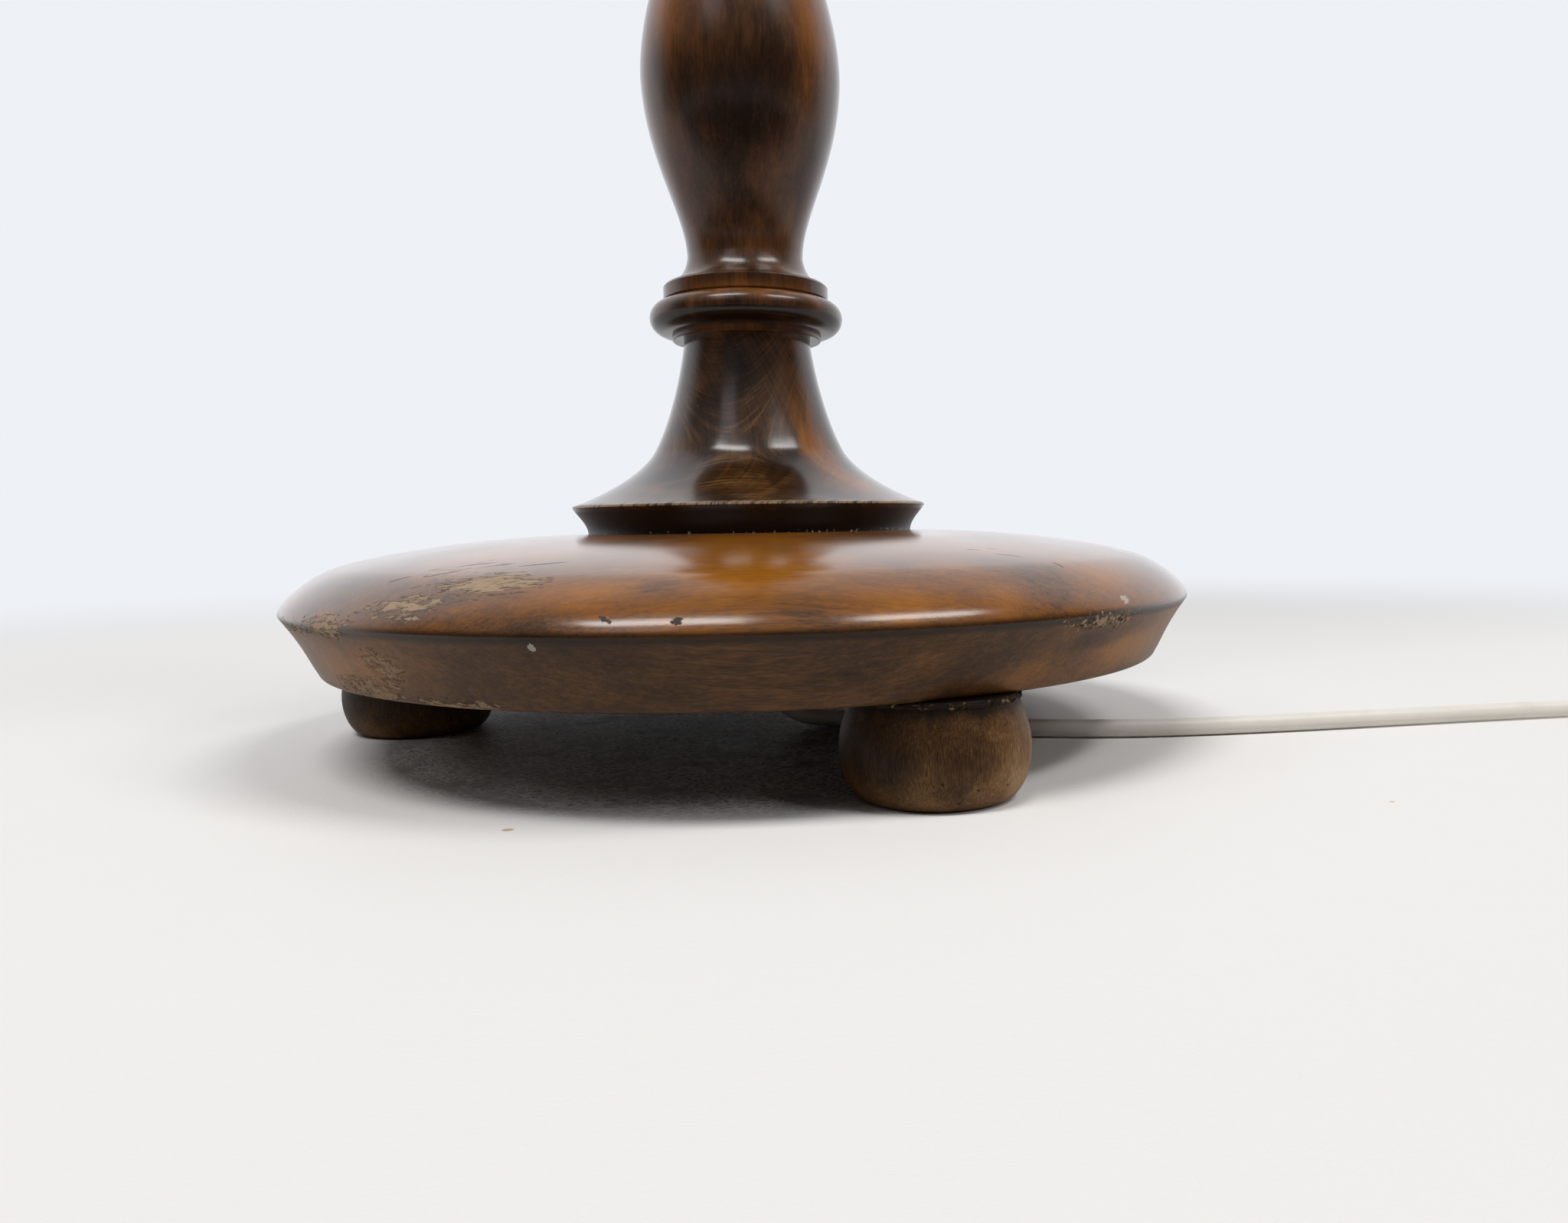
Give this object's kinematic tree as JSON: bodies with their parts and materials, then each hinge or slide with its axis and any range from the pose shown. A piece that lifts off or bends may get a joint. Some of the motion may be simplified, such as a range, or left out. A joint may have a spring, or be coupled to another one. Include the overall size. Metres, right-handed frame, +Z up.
{
  "type": "floor lamp",
  "caption": "Turned wooden candlestick floor lamp on bun feet, with a domed base disc, vase-shaped column, candle cup, keyed brass lampholder, cone shade and mains cord.",
  "frame": {"origin": "on the floor, on the axis of the column, at the centre of the three feet's circle", "axes": "+Z up along the column, -Y towards the viewer of the picture, +X to the right; the free cord lies towards +X"},
  "size_m": [0.609, 0.4391, 1.4455],
  "materials": {
    "disc_wood": "stained birch, polished shellac, worn at the rim",
    "stem_wood": "stained birch, polished shellac",
    "foot_wood": "stained birch, dull and worn",
    "zinc_steel": "zinc plated",
    "holder_brass": "satin, lacquered",
    "contact_brass": "bright",
    "fibre": "vulcanised fibre",
    "porcelain": "glazed",
    "black_plastic": "moulded",
    "brown_plastic": "moulded phenolic",
    "white_plastic": "moulded",
    "plug_white": "moulded",
    "cord_white": "extruded vinyl",
    "wire_brown": "extruded vinyl",
    "wire_blue": "extruded vinyl",
    "nickel": "nickel plated",
    "bulb_black_glass": "black glass, opaque",
    "opal_glass": "opal",
    "clear_glass": "clear",
    "shade_cloth": "linen on a stiff lining",
    "binding_tape": "cotton tape",
    "white_wire": "white enamel"
  },
  "bodies": {
    "stand": {"base_disc": "disc_wood", "foot_front": "foot_wood", "foot_back": "foot_wood", "foot_left": "foot_wood", "bell_foot": "stem_wood", "lower_stem": "stem_wood", "upper_stem": "stem_wood", "drip_pan": "stem_wood", "candle_cup": "stem_wood", "tie_tube": "zinc_steel", "base_washer": "zinc_steel", "base_nut": "zinc_steel", "cord_bush": "white_plastic", "top_washer": "zinc_steel", "top_nut": "zinc_steel", "holder_cap": "holder_brass", "grub_screw": "zinc_steel", "holder_shell": "holder_brass", "holder_liner": "fibre", "porcelain_core": "porcelain", "screw_shell": "holder_brass", "centre_contact": "contact_brass", "terminal_screws": "contact_brass", "switch_leaf": "contact_brass", "lower_shade_ring": "holder_brass", "upper_shade_ring": "holder_brass", "bulb_cap": "nickel", "bulb_insulator": "bulb_black_glass", "bulb_contact": "nickel", "bulb_glass": "opal_glass", "bulb_stem": "clear_glass", "shade_panel": "shade_cloth", "shade_spider": "white_wire", "shade_top_ring": "white_wire", "shade_bottom_ring": "white_wire", "top_binding": "binding_tape", "bottom_binding": "binding_tape", "inner_cord": "cord_white", "live_wire": "wire_brown", "neutral_wire": "wire_blue", "cord_run": "cord_white", "cord_coil": "cord_white", "plug_body": "plug_white", "plug_pins": "nickel", "pin_sleeves": "black_plastic"},
    "key": {"switch_key": "black_plastic", "switch_cam": "brown_plastic"}
  },
  "joints": [
    {"name": "key_turn", "type": "hinge", "parent": "stand", "child": "key", "pos_m": [0, 0, 1.2075], "axis": [1, 0, 0], "continuous": true}
  ]
}
